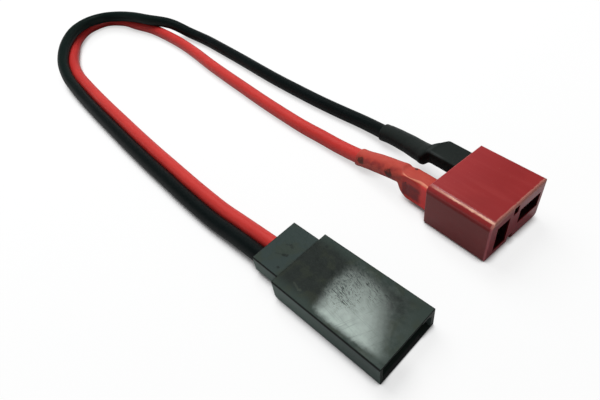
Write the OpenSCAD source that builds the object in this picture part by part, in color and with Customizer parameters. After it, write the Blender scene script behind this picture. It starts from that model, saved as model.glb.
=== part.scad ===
// Short battery adapter lead. A red two-blade plug housing of the T-slot kind and a flat black
// three-way pin housing are joined by one red and one black insulated wire.
// The wires run side by side from the black housing, turn over in a loop and part again
// before two shrunk sleeves that cover the solder tabs of the red housing.
// Millimetres. The origin is the centre of the underside of the black housing's body,
// +X points out of its mouth and +Z up. Everything lies on the plane z = 0.

/* [Black housing] */
// Width of the mating cavity
mate_w = 8.9; // [8.4:0.1:10]
// Height of the mating cavity
mate_h = 2.7; // [2.5:0.1:3.2]
// Depth of the mating cavity
mate_depth = 13.5; // [11:0.5:17]
// Side walls beside the mating cavity
body_side_wall = 0.75; // [0.6:0.05:1.2]
// Broad walls above and below the mating cavity
body_face_wall = 0.45; // [0.4:0.05:0.8]
// Solid block behind the mating cavity, inside the body
block_l = 4.5; // [4:0.1:6.5]
// Length of the narrow neck behind the body
neck_l = 5.1; // [4.6:0.1:7]
// Side walls of the neck beside the outer wires
neck_side_wall = 0.4; // [0.3:0.02:0.7]
// Walls of the neck above and below the wires
neck_face_wall = 0.41; // [0.3:0.01:0.5]
// Rounding of the body's edge below the neck
body_heel_r = 1.1; // [0.4:0.1:1.4]
// Rounding of the neck's lower edges
neck_heel_r = 0.6; // [0.3:0.1:1]
// Small rounding of the moulded edges
edge_r = 0.2; // [0.1:0.05:0.3]
// Lead-in bevel at the mouth
lead_in = 0.3; // [0.1:0.05:0.35]
// Bevel in two corners of the mating cavity, which keys the mating part
key_bevel = 0.6; // [0.3:0.1:0.9]

/* [Pins] */
// Distance from pin to pin
pitch = 2.54; // [2.5:0.01:2.6]
// Side of the square pins
pin_side = 0.64; // [0.5:0.02:0.8]
// Length of a pin in the mating cavity
pin_reach = 8; // [5:0.5:10]
// Side of the folded box behind each pin
box_side = 1.9; // [1.6:0.05:2]
// Thickness of the folded sheet
sheet_t = 0.25; // [0.15:0.05:0.3]
// Length of the crimp that grips the strands
crimp_l = 2.2; // [1.8:0.1:2.6]
// Clearance of a terminal in its chamber
chamber_gap = 0.05; // [0.02:0.01:0.1]
// Wall between the terminal chambers and the mating cavity
bulkhead = 1; // [0.6:0.1:1.5]

/* [Wires] */
// Diameter over the insulation
wire_d = 2.4; // [1.8:0.1:2.4]
// Diameter of the bare strands
strand_d = 0.9; // [0.7:0.05:1.2]
// Gap between the two wires where they run side by side
pair_gap = 0.15; // [0.1:0.05:0.4]
// Length of insulation inside the neck
wire_sink = 1.2; // [0.6:0.1:1.6]

/* [Red housing] */
// Wall beside the upright slot
near_wall = 1.6; // [0.8:0.05:2]
// Wall between the two slots
web = 2.3; // [1.6:0.05:3]
// Wall beyond the flat slot
far_wall = 0.95; // [0.4:0.05:1.2]
// Average of the walls above and below the upright slot
face_wall = 1.3; // [0.8:0.05:1.6]
// Depth of the slots
slot_depth = 8.8; // [7:0.1:12]
// Wall behind the slots
rear_wall = 1.6; // [1:0.1:2.5]
// Height of the flat slot above the middle
flat_slot_lift = 0.4; // [0:0.05:0.5]
// Depth of the upright slot below the middle
upright_slot_drop = 0.3; // [0:0.05:0.5]
// Rounding of the top edge beside the upright slot
brow_r = 1.2; // [0.4:0.1:1.5]
// Rounding of the bottom edge beside the flat slot
keel_r = 1.5; // [0.4:0.1:1.8]
// Rounding of the other edges
plug_edge_r = 0.35; // [0.1:0.05:0.45]
// Width of the notch and of the pocket in the web between the slots
notch_w = 1.1; // [0.6:0.1:1.5]
// Height of the notch, up from the bottom
notch_h = 1.2; // [0.5:0.1:1.4]
// Depth of the notch behind the face
notch_l = 0.5; // [0.4:0.1:2]
// Roof over the pocket
pocket_roof = 0.35; // [0.3:0.05:0.6]
// Height of the pocket
pocket_h = 1.4; // [0.8:0.1:1.6]
// Depth of the pocket behind the face
pocket_l = 0.9; // [0.4:0.1:2]

/* [Contacts] */
// Width of a contact blade
blade_w = 4.2; // [3.4:0.1:5]
// Thickness of a contact blade
blade_t = 0.8; // [0.6:0.05:1]
// Distance of the blades behind the face of the housing
blade_recess = 2; // [0.5:0.1:2]
// Free slot beside each edge of a blade
slot_side_gap = 0.2; // [0.15:0.05:0.5]
// Room for the mating blade
mating_room = 0.95; // [0.7:0.05:1.2]
// Height of the spring's bow
spring_rise = 0.75; // [0.5:0.05:1]
// Thickness of the spring
spring_t = 0.2; // [0.15:0.05:0.3]
// Width of the spring
spring_w = 3.6; // [2.4:0.1:4.2]
// Length of the flat foot at each end of the spring
spring_foot = 0.8; // [0.5:0.1:1.2]
// Distance of the spring behind the face of the housing
spring_recess = 1; // [0.3:0.1:1.2]
// Width of a solder tab
tab_w = 3.4; // [2.6:0.1:4]
// Length of a solder tab behind the housing
tab_l = 5.4; // [4:0.1:7]
// Rounding of a tab's two rear corners
tab_corner_r = 0.6; // [0.2:0.1:1]
// Clearance round a tab in the rear wall
tab_gap = 0.04; // [0.02:0.01:0.1]
// Distance of a tab's middle from its blade's middle, outward or down
tab_offset = 0.4; // [0:0.05:0.45]

/* [Solder and sleeves] */
// Bare strands between the end of a tab and the insulation
bare_l = 1; // [0.8:0.1:2.5]
// Length of strands soldered to a tab
solder_l = 3.6; // [2.5:0.1:4]
// Thickness of solder over the strands
solder_t = 0.1; // [0.1:0.01:0.2]
// Sideways place of the black wire on its tab
flat_wire_shift = -1.1; // [-1.15:0.05:1]
// Upward place of the red wire on its tab
upright_wire_shift = 0.4; // [-0.8:0.05:0.8]
// Wall of a shrunk sleeve
sleeve_wall = 0.2; // [0.15:0.01:0.3]
// Clearance inside a sleeve
sleeve_gap = 0.1; // [0.08:0.01:0.15]
// Length of sleeve on the red wire's insulation
red_sleeve_l = 8.6; // [6:0.1:14]
// Length of sleeve on the black wire's insulation
black_sleeve_l = 10.4; // [6:0.1:14]
// Swelling of the red sleeve over the end of the insulation
red_swell = 0.15; // [0:0.05:0.4]
// Swelling of the black sleeve over the end of the insulation
black_swell = 0.3; // [0:0.05:0.4]
// Extra radius at the end of a sleeve, where it curls
sleeve_lip = 0.12; // [0:0.02:0.2]
// Slack of the red sleeve over the wire's side of its tab
red_slack = 0.9; // [0:0.1:1.2]
// Slack of the red sleeve over the edges of its tab
red_edge_slack = 0.25; // [0:0.05:0.4]

/* [Hidden] */
$fn = 48;

// Overrun of a cut past the face that it opens
cut = 0.1;

// Routes of the wires, chosen by eye.
// The pair's middle line: x, y, turn of the pair in degrees, lift above lying flat.
// At turn 0 the wires lie side by side with the red one inside the loop,
// and at turn 90 the black one lies on top.
pair_points = [
    [-17, -1.3, 0, 0.5], [-21, -1.3, 0, 0.2], [-26, -1.4, 0, 0], [-33, -1.2, 0, 0],
    [-40, -0.8, 0, 0], [-47, -0.4, 0, 0], [-54, 0.1, 0, 0], [-61, 0.7, 0, 0],
    [-68, 1.3, 0, 0], [-75, 2, 0, 0], [-81, 2.7, 5, 0], [-87, 3.6, 15, 0],
    [-93.5, 5.6, 34, 0], [-99.5, 9, 61, 0], [-104.5, 13.3, 96, 0], [-107.3, 18.2, 122, 0],
    [-106.7, 22.6, 132, 0], [-102.7, 25.4, 124, 0], [-97.2, 26.8, 100, 0], [-91.9, 28, 90, 0]
];
// Each wire by itself, from the end of the pair to its sleeve
red_points = [
    [-85.5, 28.2, 1.2], [-78, 27.9, 1.2], [-71, 27.1, 1.2], [-64, 26, 1.2],
    [-57, 25.1, 1.2], [-50, 24.3, 1.2], [-43, 23.5, 1.2], [-36.5, 22.9, 1.2],
    [-31, 22.5, 1.2], [-26, 22.4, 1.2], [-21.5, 22.2, 1.3], [-16.6, 21.9, 1.9],
    [-12.2, 21.7, 2.9]
];
black_points = [
    [-86, 30.6, 3], [-80, 32.1, 1.5], [-73.5, 32.4, 1.2], [-67, 32, 1.2],
    [-60, 31.5, 1.2], [-53, 30.9, 1.2], [-46.5, 30.4, 1.2], [-40, 30.1, 1.2],
    [-34, 29.9, 1.2], [-28.5, 29.9, 1.2], [-23, 29.9, 1.3], [-18, 29.3, 1.8],
    [-12.4, 28.1, 2.7]
];
// Where the loop of wire holds the red housing: middle of its underside, and its turn about Z
plug_place = [4.1, 23.6, 0];
plug_turn = -5.2;
tube_sides = 8;
sleeve_corner_steps = 6;
sleeve_steps = 3;

// Black housing
body_l = mate_depth + block_l;
body_w = mate_w + 2 * body_side_wall;
body_h = mate_h + 2 * body_face_wall;
axis_z = body_h / 2;
mouth_x = body_l / 2;
cavity_end_x = mouth_x - mate_depth;
neck_front_x = -body_l / 2;
neck_rear_x = neck_front_x - neck_l;
wire_flats = wire_d * cos(180 / tube_sides);
entry_side = wire_flats + 2 * chamber_gap;
entry_depth = wire_sink + 0.3;
neck_w = 2 * pitch + entry_side + 2 * neck_side_wall;
neck_h = entry_side + 2 * neck_face_wall;
chamber_side = box_side + 2 * chamber_gap;
chamber_front_x = cavity_end_x - bulkhead;
positive_y = 0;
negative_y = -pitch;

// Terminals, from the wire's insulation forward
insulation_x = neck_rear_x + wire_sink;
crimp_x = insulation_x + 0.5;
crimp_front_x = crimp_x + crimp_l;
box_front_x = chamber_front_x - chamber_gap;
box_l = 3.4;
box_x = box_front_x - box_l;
strand_bore = strand_d / 2 + 0.03;
crimp_r = strand_bore + sheet_t;
pin_tip_x = cavity_end_x + pin_reach;
pin_hole = pin_side + 2 * chamber_gap;
pin_bevel = 0.15;

// Latch fingers in the underside of the body, one behind each terminal's box
latch_w = 1.1;
latch_slot_w = 1.5;
latch_t = 0.4;
latch_window_l = 0.9;
latch_slot_l = 2.7;
latch_slot_front_x = box_x + 0.5;
latch_slot_x = latch_slot_front_x - latch_slot_l;

// Red housing, in its own frame: x forward, y away from the upright slot, z up
slot_long = blade_w + 2 * slot_side_gap;
slot_short = blade_t + mating_room + spring_rise + spring_t;
plug_l = slot_depth + rear_wall;
plug_w = near_wall + slot_short + web + slot_long + far_wall;
plug_h = slot_long + 2 * face_wall;
face_x = plug_l / 2;
slot_end_x = face_x - slot_depth;
upright_slot = [-plug_w / 2 + near_wall + slot_short / 2, plug_h / 2 - upright_slot_drop];
flat_slot = [plug_w / 2 - far_wall - slot_long / 2, plug_h / 2 + flat_slot_lift];
web_y = -plug_w / 2 + near_wall + slot_short + web / 2;

// Contacts, in a slot's own frame: x forward, y across the blade, z towards the blade's wall
blade_top = slot_short / 2;
blade_under = blade_top - blade_t;
tab_end_x = -plug_l / 2 - tab_l;
strand_z = blade_under - strand_d / 2;
plug_insulation_x = tab_end_x - bare_l;
strand_tip_x = tab_end_x + solder_l;

function unit(v) = v / norm(v);
function mix(a, b, t) = a + (b - a) * t;
plug_ahead = [cos(plug_turn), sin(plug_turn), 0];
function ease(t) = t * t * (3 - 2 * t);

// From the red housing's frame, or from a slot's frame, to the part's frame
function from_plug(p) = plug_place + [
    p[0] * cos(plug_turn) - p[1] * sin(plug_turn),
    p[0] * sin(plug_turn) + p[1] * cos(plug_turn),
    p[2]
];
function from_flat(p) = from_plug([p[0], flat_slot[0] + p[1], flat_slot[1] + p[2]]);
function from_upright(p) = from_plug([p[0], upright_slot[0] - p[2], upright_slot[1] + p[1]]);

// Heading of point i on a route
function heading(p, i) = unit(p[min(i + 1, len(p) - 1)] - p[max(i - 1, 0)]);

// The two wires of the pair at each of its points; side is 1 for the red one
pair_pitch = wire_d + pair_gap;
pair_line = [for (q = pair_points) [q[0], q[1], 0]];
function pair_wire(side) = [
    for (i = [0:len(pair_points) - 1])
        let (
            q = pair_points[i],
            across = cross(heading(pair_line, i), [0, 0, 1]),
            half = side * pair_pitch / 2,
            rise = wire_d / 2 + pair_pitch / 2 * sin(q[2]) + q[3]
        )
        [q[0], q[1], rise] + half * (cos(q[2]) * across - [0, 0, sin(q[2])])
];
red_route = concat(
    [[insulation_x, positive_y, axis_z]],
    pair_wire(1),
    red_points,
    [from_upright([plug_insulation_x, upright_wire_shift, strand_z])]
);
black_route = concat(
    [[insulation_x, negative_y, axis_z]],
    pair_wire(-1),
    black_points,
    [from_flat([plug_insulation_x, tab_offset + flat_wire_shift, strand_z])]
);

// Closed skin over a list of rings that all have the same number of points
module skin(rings) {
    sides = len(rings[0]);
    last = len(rings) - 1;
    polyhedron(
        points = [for (ring = rings) each ring],
        faces = concat(
            [[for (k = [0:sides - 1]) k]],
            [
                for (i = [0:last - 1], k = [0:sides - 1])
                    let (a = i * sides + k, b = i * sides + (k + 1) % sides)
                    [a, a + sides, b + sides, b]
            ],
            [[for (k = [sides - 1:-1:0]) last * sides + k]]
        ),
        convexity = 10
    );
}

// Round insulation along a route, with a ring square to the route at each of its points.
// It leaves the black housing straight back and enters its sleeve in line with the red one.
module tube(route, d) {
    last = len(route) - 1;
    skin([
        for (i = [0:last])
            let (
                along = i == 0 ? [-1, 0, 0] : i == last ? plug_ahead : heading(route, i),
                level = unit(cross([0, 0, 1], along)),
                up = cross(along, level)
            )
            [
                for (k = [0:tube_sides - 1])
                    let (a = (k + 0.5) * 360 / tube_sides)
                    route[i] + d / 2 * (cos(a) * level + sin(a) * up)
            ]
    ]);
}

// Rectangle with a radius for each corner: low left, low right, high right, high left
module soft_rect(size, r) {
    difference() {
        square(size, center = true);
        for (i = [0:3]) {
            right = (i == 1 || i == 2) ? 1 : 0;
            high = (i > 1) ? 1 : 0;
            translate([(2 * right - 1) * (size[0] / 2 - r[i]), (2 * high - 1) * (size[1] / 2 - r[i])])
            difference() {
                translate([(right - 1) * (r[i] + cut), (high - 1) * (r[i] + cut)]) square(r[i] + cut);
                circle(r[i]);
            }
        }
    }
}

// Block with its own rounding on the edges along each axis, standing on z = 0
module soft_block(size, along_x, along_y, along_z) {
    intersection() {
        translate([-size[0] / 2, 0, size[2] / 2]) rotate([90, 0, 90])
            linear_extrude(size[0]) soft_rect([size[1], size[2]], along_x);
        translate([0, size[1] / 2, size[2] / 2]) rotate([90, 0, 0])
            linear_extrude(size[1]) soft_rect([size[0], size[2]], along_y);
        linear_extrude(size[2]) soft_rect([size[0], size[1]], along_z);
    }
}

// Square bar along X, from x to x + l, centred on y = 0 and z = 0
module bar(x, l, w, h) {
    translate([x, -w / 2, -h / 2]) cube([l, w, h]);
}

// Flaring recess at a mouth, from the size w by h up to a bevel larger all round at x = 0
module flare(w, h, bevel) {
    intersection() {
        translate([0, h, 0]) rotate([90, 0, 0]) linear_extrude(2 * h + 2 * w)
            polygon([[-bevel, -h / 2], [cut, -h / 2 - bevel - cut], [cut, h / 2 + bevel + cut], [-bevel, h / 2]]);
        translate([0, 0, -h]) linear_extrude(2 * h)
            polygon([[-bevel, -w / 2], [cut, -w / 2 - bevel - cut], [cut, w / 2 + bevel + cut], [-bevel, w / 2]]);
    }
}

// The slots and everything in them are drawn flat and set in place by these two
module in_plug() {
    translate(plug_place) rotate([0, 0, plug_turn]) children();
}
module in_flat_slot() {
    in_plug() translate([0, flat_slot[0], flat_slot[1]]) children();
}
module in_upright_slot() {
    in_plug() translate([0, upright_slot[0], upright_slot[1]]) rotate([90, 0, 0]) children();
}

module slot_cut(tab_shift) {
    bar(slot_end_x, slot_depth + cut, slot_long, slot_short);
    translate([-plug_l / 2 - cut, tab_shift - tab_w / 2 - tab_gap, blade_under - tab_gap])
        cube([rear_wall + 2 * cut, tab_w + 2 * tab_gap, blade_t + 2 * tab_gap]);
}

// Square recess in the face of the web, a length deep and h high from z up
module web_cut(depth, z, h) {
    translate([face_x - depth, web_y - notch_w / 2, z]) cube([depth + cut, notch_w, h]);
}

module plug_housing() {
    color([0.6, 0.2, 0.2]) difference() {
        in_plug() difference() {
            soft_block(
                [plug_l, plug_w, plug_h],
                [plug_edge_r, keel_r, plug_edge_r, brow_r],
                [edge_r, plug_edge_r, plug_edge_r, edge_r],
                [edge_r, edge_r, plug_edge_r, edge_r]
            );
            web_cut(notch_l, -cut, notch_h + cut);
            web_cut(pocket_l, plug_h - pocket_roof - pocket_h, pocket_h);
        }
        in_upright_slot() slot_cut(-tab_offset);
        in_flat_slot() slot_cut(tab_offset);
    }
}

// Blade with a bevelled front edge, and the narrower tab that comes out of the rear wall
module contact(tab_shift) {
    nose = blade_t / 2;
    front_x = face_x - blade_recess;
    root_x = slot_end_x + tab_corner_r;
    color([0.85, 0.7, 0.35]) {
        rotate([90, 0, 0]) linear_extrude(blade_w, center = true)
            polygon([
                [slot_end_x, blade_under], [front_x - nose, blade_under],
                [front_x, blade_top - nose / 2], [front_x, blade_top], [slot_end_x, blade_top]
            ]);
        translate([(tab_end_x + root_x) / 2, tab_shift, blade_under])
            linear_extrude(blade_t)
                soft_rect([root_x - tab_end_x, tab_w], [for (i = [0:3]) tab_corner_r]);
    }
}

// Leaf spring that bows from the wall opposite the blade
module contact_spring() {
    rear_x = slot_end_x + spring_recess;
    front_x = face_x - spring_recess;
    span = front_x - rear_x - 2 * spring_foot;
    bow_r = (span * span / 4 + spring_rise * spring_rise) / (2 * spring_rise);
    wall_z = -slot_short / 2;
    color([0.8, 0.66, 0.4]) rotate([90, 0, 0]) linear_extrude(spring_w, center = true) {
        for (x = [rear_x, front_x - spring_foot]) {
            translate([x, wall_z]) square([spring_foot, spring_t]);
        }
        intersection() {
            translate([rear_x + spring_foot / 2, wall_z])
                square([span + spring_foot, spring_rise + spring_t]);
            translate([(rear_x + front_x) / 2, wall_z + spring_t + spring_rise - bow_r]) difference() {
                circle(bow_r, $fn = 144);
                circle(bow_r - spring_t, $fn = 144);
            }
        }
    }
}

module strands(x, l, shift, z) {
    color([0.8, 0.8, 0.78]) translate([x, shift, z]) rotate([0, 90, 0]) cylinder(d = strand_d, h = l);
}

// Bead of solder round the strands, cut off at the face of the tab.
// It leaves free the narrow line where the strands touch the tab.
module solder(shift) {
    r = strand_d / 2;
    foot = 0.5;
    bead_l = solder_l - 0.3;
    color([0.75, 0.76, 0.78]) difference() {
        translate([tab_end_x + 0.3, shift, strand_z]) rotate([0, 90, 0]) rotate_extrude()
            polygon([
                [r - cut, 0], [r + 0.04, 0], [r + solder_t, foot],
                [r + solder_t, bead_l - foot], [r + 0.04, bead_l], [r - cut, bead_l]
            ]);
        strands(tab_end_x, solder_l + 1, shift, strand_z);
        translate([tab_end_x, shift - 1, blade_under]) cube([solder_l + 1, 2, 1]);
        translate([tab_end_x, shift - 0.15, strand_z]) cube([solder_l + 1, 0.3, 1]);
    }
}

// Points of a rounded rectangle, with one radius for the corners by the tab and one for the others
function corner_points(a, b, r_tab, r_wire) = [
    for (corner = [3:-1:0], k = [sleeve_corner_steps - 1:-1:0])
        let (
            r = corner < 2 ? r_tab : r_wire,
            sx = (corner == 0 || corner == 3) ? 1 : -1,
            sy = corner < 2 ? 1 : -1,
            t = 90 * corner + 90 * (k + 0.5) / sleeve_corner_steps
        )
        [sx * (a - r) + r * cos(t), sy * (b - r) + r * sin(t)]
];

// Stations of a sleeve in its slot's frame: x, middle across, middle along the thickness,
// half width, half thickness, radius by the tab, radius by the wire.
// The round stations are centred on the given spots along the end of the wire.
function sleeve_stations(tab_shift, slack, edge_slack, swell, spots) =
    let (
        gap = sleeve_gap + sleeve_wall,
        low = strand_z - strand_d / 2 - solder_t - gap - slack,
        high = blade_top + gap,
        tab_half = tab_w / 2 + gap + edge_slack,
        wire_r = wire_d / 2 + gap,
        flat = [tab_shift, (low + high) / 2, tab_half, (high - low) / 2, gap, 0.8 + slack / 2]
    )
    [
        concat([-plug_l / 2], flat),
        concat([tab_end_x + 0.4], flat),
        [
            tab_end_x - 0.5, mix(tab_shift, spots[0][1], 0.35), max(flat[1], high - wire_r),
            tab_half * 0.82, wire_r, 0.7, 1.2
        ],
        round_station(spots[0], wire_r + swell),
        round_station(spots[1], wire_r + 0.8 * swell),
        round_station(spots[2], wire_r + 0.05),
        round_station(spots[3], wire_r),
        round_station(spots[4], wire_r + sleeve_lip)
    ];
function round_station(p, r) = concat(p, [r, r, r, r]);
// Where the round stations lie on a sleeve, as shares of its length on the insulation
sleeve_shares = [0, 0.14, 0.5, 0.9, 1];
function blend_stations(s) = concat(
    [
        for (i = [0:len(s) - 2], j = [0:sleeve_steps - 1])
            let (t = j / sleeve_steps)
            concat([mix(s[i][0], s[i + 1][0], t)], [for (c = [1:6]) mix(s[i][c], s[i + 1][c], ease(t))])
    ],
    [s[len(s) - 1]]
);

// Shrunk sleeve in its slot's frame, open at both ends
module sleeve(tab_shift, slack, edge_slack, swell, spots) {
    s = blend_stations(sleeve_stations(tab_shift, slack, edge_slack, swell, spots));
    mouth = s[len(s) - 1];
    inner = concat(
        [concat([s[0][0] + cut], [for (c = [1:6]) s[0][c]])],
        s,
        [concat([mouth[0] - cut], [for (c = [1:6]) mouth[c]])]
    );
    difference() {
        skin([for (q = s) sleeve_ring(q, 0)]);
        skin([for (q = inner) sleeve_ring(q, sleeve_wall)]);
    }
}
function sleeve_ring(q, inset) = [
    for (p = corner_points(q[3] - inset, q[4] - inset, q[5] - inset, q[6] - inset))
        [q[0], q[1] + p[0], q[2] + p[1]]
];

// From the part's frame back to the red housing's, or to a slot's
function in_plug_frame(p) = let (d = p - plug_place) [
    d[0] * cos(plug_turn) + d[1] * sin(plug_turn),
    -d[0] * sin(plug_turn) + d[1] * cos(plug_turn),
    d[2]
];
function in_flat_frame(p) = in_plug_frame(p) - [0, flat_slot[0], flat_slot[1]];
function in_upright_frame(p) = let (q = in_plug_frame(p))
    [q[0], q[2] - upright_slot[1], upright_slot[0] - q[1]];
// Point a given length back from the end of a route whose last stretches run nearly straight
function back_from_end(route, l) =
    let (
        n = len(route),
        last = norm(route[n - 1] - route[n - 2]),
        on_last = l < last,
        a = on_last ? route[n - 1] : route[n - 2],
        b = on_last ? route[n - 2] : route[n - 3]
    )
    a + unit(b - a) * (on_last ? l : l - last);

// Square pin with a bevelled tip, folded box, floor strip and crimp, all of one sheet
module pin_terminal(y) {
    color([0.82, 0.72, 0.42]) translate([0, y, axis_z]) {
        intersection() {
            rotate([90, 0, 0]) linear_extrude(pin_side, center = true) pin_outline();
            linear_extrude(pin_side, center = true) pin_outline();
        }
        difference() {
            bar(box_x, box_l, box_side, box_side);
            bar(box_x - cut, box_l - 1, box_side - 2 * sheet_t, box_side - 2 * sheet_t);
        }
        difference() {
            translate([crimp_x, -box_side / 2, -box_side / 2])
                cube([box_x - crimp_x + sheet_t, box_side, sheet_t]);
            bar(box_x - latch_window_l, latch_window_l, latch_w + 0.2, box_side + cut);
        }
        difference() {
            translate([crimp_x, 0, 0]) rotate([90, 0, 90]) linear_extrude(crimp_l) crimp_section();
            strands(crimp_x - cut, crimp_l + 2 * cut, 0, 0);
        }
    }
}
module pin_outline() {
    h = pin_side / 2;
    polygon([
        [box_front_x - 1, -h], [pin_tip_x - pin_bevel, -h], [pin_tip_x, -h + pin_bevel],
        [pin_tip_x, h - pin_bevel], [pin_tip_x - pin_bevel, h], [box_front_x - 1, h]
    ]);
}
// Two wings folded round the strands that meet in a groove on top, on a flat floor
module crimp_section() {
    groove = 0.25;
    difference() {
        union() {
            circle(crimp_r);
            translate([-crimp_r * 0.7, -box_side / 2]) square([crimp_r * 1.4, box_side / 2 - strand_bore + 0.1]);
        }
        circle(strand_bore);
        translate([0, crimp_r]) rotate(45) square(groove, center = true);
    }
}

module latch_slot(y) {
    wall = axis_z - chamber_side / 2;
    translate([latch_slot_x, y - latch_slot_w / 2, -cut])
        cube([latch_slot_front_x - latch_slot_x, latch_slot_w, wall + 2 * cut]);
}
// Finger from the slot's rear edge, with a barb that stands up through the window
// in the terminal's floor strip, just behind the box
module latch_finger(y) {
    wall = axis_z - chamber_side / 2;
    tip_x = box_x - chamber_gap;
    barb_h = 0.3;
    translate([0, y + latch_w / 2, 0]) rotate([90, 0, 0]) linear_extrude(latch_w)
        polygon([
            [latch_slot_x - 0.1, wall - latch_t], [latch_slot_x - 0.1, wall],
            [tip_x - 0.7, wall], [tip_x - 0.2, wall + barb_h],
            [tip_x, wall + barb_h], [tip_x, wall - latch_t]
        ]);
}

module pin_housing() {
    color([0.2, 0.23, 0.22]) {
        difference() {
            union() {
                soft_block(
                    [body_l, body_w, body_h],
                    [edge_r, edge_r, edge_r, edge_r],
                    [body_heel_r, edge_r / 2, edge_r / 2, edge_r],
                    [edge_r, edge_r / 2, edge_r / 2, edge_r]
                );
                translate([(neck_rear_x + neck_front_x) / 2 + 0.5, 0, axis_z - neck_h / 2])
                    soft_block(
                        [neck_l + 1, neck_w, neck_h],
                        [neck_heel_r, neck_heel_r, edge_r, edge_r],
                        [neck_heel_r, edge_r, edge_r, edge_r],
                        [edge_r, edge_r, edge_r, edge_r]
                    );
            }
            mating_cavity();
            for (y = [-pitch, 0, pitch]) {
                translate([0, y, axis_z]) {
                    bar(neck_rear_x - cut, entry_depth + cut, entry_side, entry_side);
                    bar(neck_rear_x, chamber_front_x - neck_rear_x, chamber_side, chamber_side);
                    bar(chamber_front_x - cut, bulkhead + 2 * cut, pin_hole, pin_hole);
                }
                latch_slot(y);
            }
        }
        for (y = [-pitch, 0, pitch]) latch_finger(y);
    }
}

// Flat cavity with two bevelled corners below its top and a flaring mouth
module mating_cavity() {
    translate([cavity_end_x, 0, axis_z]) rotate([90, 0, 90]) linear_extrude(mate_depth + cut)
        polygon([
            [-mate_w / 2, -mate_h / 2], [mate_w / 2, -mate_h / 2],
            [mate_w / 2, mate_h / 2 - key_bevel], [mate_w / 2 - key_bevel, mate_h / 2],
            [key_bevel - mate_w / 2, mate_h / 2], [-mate_w / 2, mate_h / 2 - key_bevel]
        ]);
    translate([mouth_x, 0, axis_z]) flare(mate_w, mate_h, lead_in);
}

plug_housing();
in_upright_slot() contact(-tab_offset);  // contact_positive
in_flat_slot() contact(tab_offset);  // contact_negative
in_upright_slot() contact_spring();  // contact_spring_positive
in_flat_slot() contact_spring();  // contact_spring_negative
union() {  // tab_strands_positive
    in_upright_slot()
        strands(plug_insulation_x, strand_tip_x - plug_insulation_x, upright_wire_shift, strand_z);
}
union() {  // tab_strands_negative
    in_flat_slot()
        strands(plug_insulation_x, strand_tip_x - plug_insulation_x, tab_offset + flat_wire_shift, strand_z);
}
in_upright_slot() solder(upright_wire_shift);  // solder_positive
in_flat_slot() solder(tab_offset + flat_wire_shift);  // solder_negative
union() {  // sleeve_positive
    color([0.72, 0.25, 0.2]) in_upright_slot() sleeve(-tab_offset, red_slack, red_edge_slack, red_swell, [
        for (share = sleeve_shares) in_upright_frame(back_from_end(red_route, share * red_sleeve_l))
    ]);
}
union() {  // sleeve_negative
    color([0.12, 0.13, 0.13]) in_flat_slot() sleeve(tab_offset, 0, 0, black_swell, [
        for (share = sleeve_shares) in_flat_frame(back_from_end(black_route, share * black_sleeve_l))
    ]);
}
color([0.8, 0.2, 0.18]) tube(red_route, wire_d);  // wire_positive
color([0.12, 0.14, 0.14]) tube(black_route, wire_d);  // wire_negative
pin_housing();
pin_terminal(positive_y);  // pin_positive
pin_terminal(negative_y);  // pin_negative
union() {  // crimp_strands_positive
    strands(insulation_x, crimp_front_x - insulation_x, positive_y, axis_z);
}
union() {  // crimp_strands_negative
    strands(insulation_x, crimp_front_x - insulation_x, negative_y, axis_z);
}
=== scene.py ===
import math
from collections import namedtuple

import bmesh
import bpy
from mathutils import Matrix, Vector, noise


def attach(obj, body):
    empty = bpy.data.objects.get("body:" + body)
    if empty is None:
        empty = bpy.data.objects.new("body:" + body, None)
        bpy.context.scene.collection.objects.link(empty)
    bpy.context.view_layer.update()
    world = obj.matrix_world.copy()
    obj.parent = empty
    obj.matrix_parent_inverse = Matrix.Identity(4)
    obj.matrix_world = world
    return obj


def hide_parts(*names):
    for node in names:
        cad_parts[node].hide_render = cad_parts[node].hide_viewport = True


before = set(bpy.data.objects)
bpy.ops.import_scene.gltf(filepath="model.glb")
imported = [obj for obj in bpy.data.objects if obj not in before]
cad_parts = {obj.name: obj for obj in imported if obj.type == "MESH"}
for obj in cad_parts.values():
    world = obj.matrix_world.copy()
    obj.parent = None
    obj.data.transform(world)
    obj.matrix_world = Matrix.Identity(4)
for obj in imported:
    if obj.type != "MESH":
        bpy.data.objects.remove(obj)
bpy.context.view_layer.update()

MM = 0.001
UP = (0, 0, 1)
AHEAD = (1, 0, 0)
ASIDE = (0, 1, 0)
bpy.context.scene.view_settings.view_transform = "Standard"


# The photograph's camera: its place in millimetres, and where the picture's right and top sides point

CAMERA_PLACE = (23.473, -23.279, 55.149)
PICTURE_RIGHT = Vector((0.69987, 0.70423, -0.11935)).normalized()
PICTURE_UP = Vector((-0.45263, 0.56653, 0.68860)).normalized()
SENSOR_WIDTH = 36
FOCAL_LENGTH = 28.94


def stand(thing, place, right, up, back):
    """Put a camera or a lamp, which looks the opposite way to back, at a place in millimetres."""
    turn = Matrix((right, up, back)).transposed().to_4x4()
    thing.matrix_world = Matrix.Translation(Vector(place) * MM) @ turn


def make_camera():
    lens = bpy.data.cameras.new("photo_camera")
    lens.sensor_width = SENSOR_WIDTH
    lens.lens = FOCAL_LENGTH
    lens.clip_start = 0.001
    lens.clip_end = 10
    camera = bpy.data.objects.new("photo_camera", lens)
    bpy.context.scene.collection.objects.link(camera)
    stand(camera, CAMERA_PLACE, PICTURE_RIGHT, PICTURE_UP, PICTURE_RIGHT.cross(PICTURE_UP))
    bpy.context.scene.camera = camera


make_camera()


# Sizes in millimetres, the same as in the part's source. The plug is the red housing, and its own
# frame has x out of its mouth, z up and its middle over PLUG_PLACE.

PIN_PITCH = 2.54
BODY_H = 3.6
NECK_FRONT_X = -9.0
NECK_REAR_X = -14.1
WIRE_SINK = 1.2
WIRE_D = 2.4
PAIR_GAP = 0.15
STRAND_D = 0.9
BARE_L = 1.0
SOLDER_T = 0.1
UPRIGHT_WIRE_SHIFT = 0.4
FLAT_WIRE_SHIFT = -1.1

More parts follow.
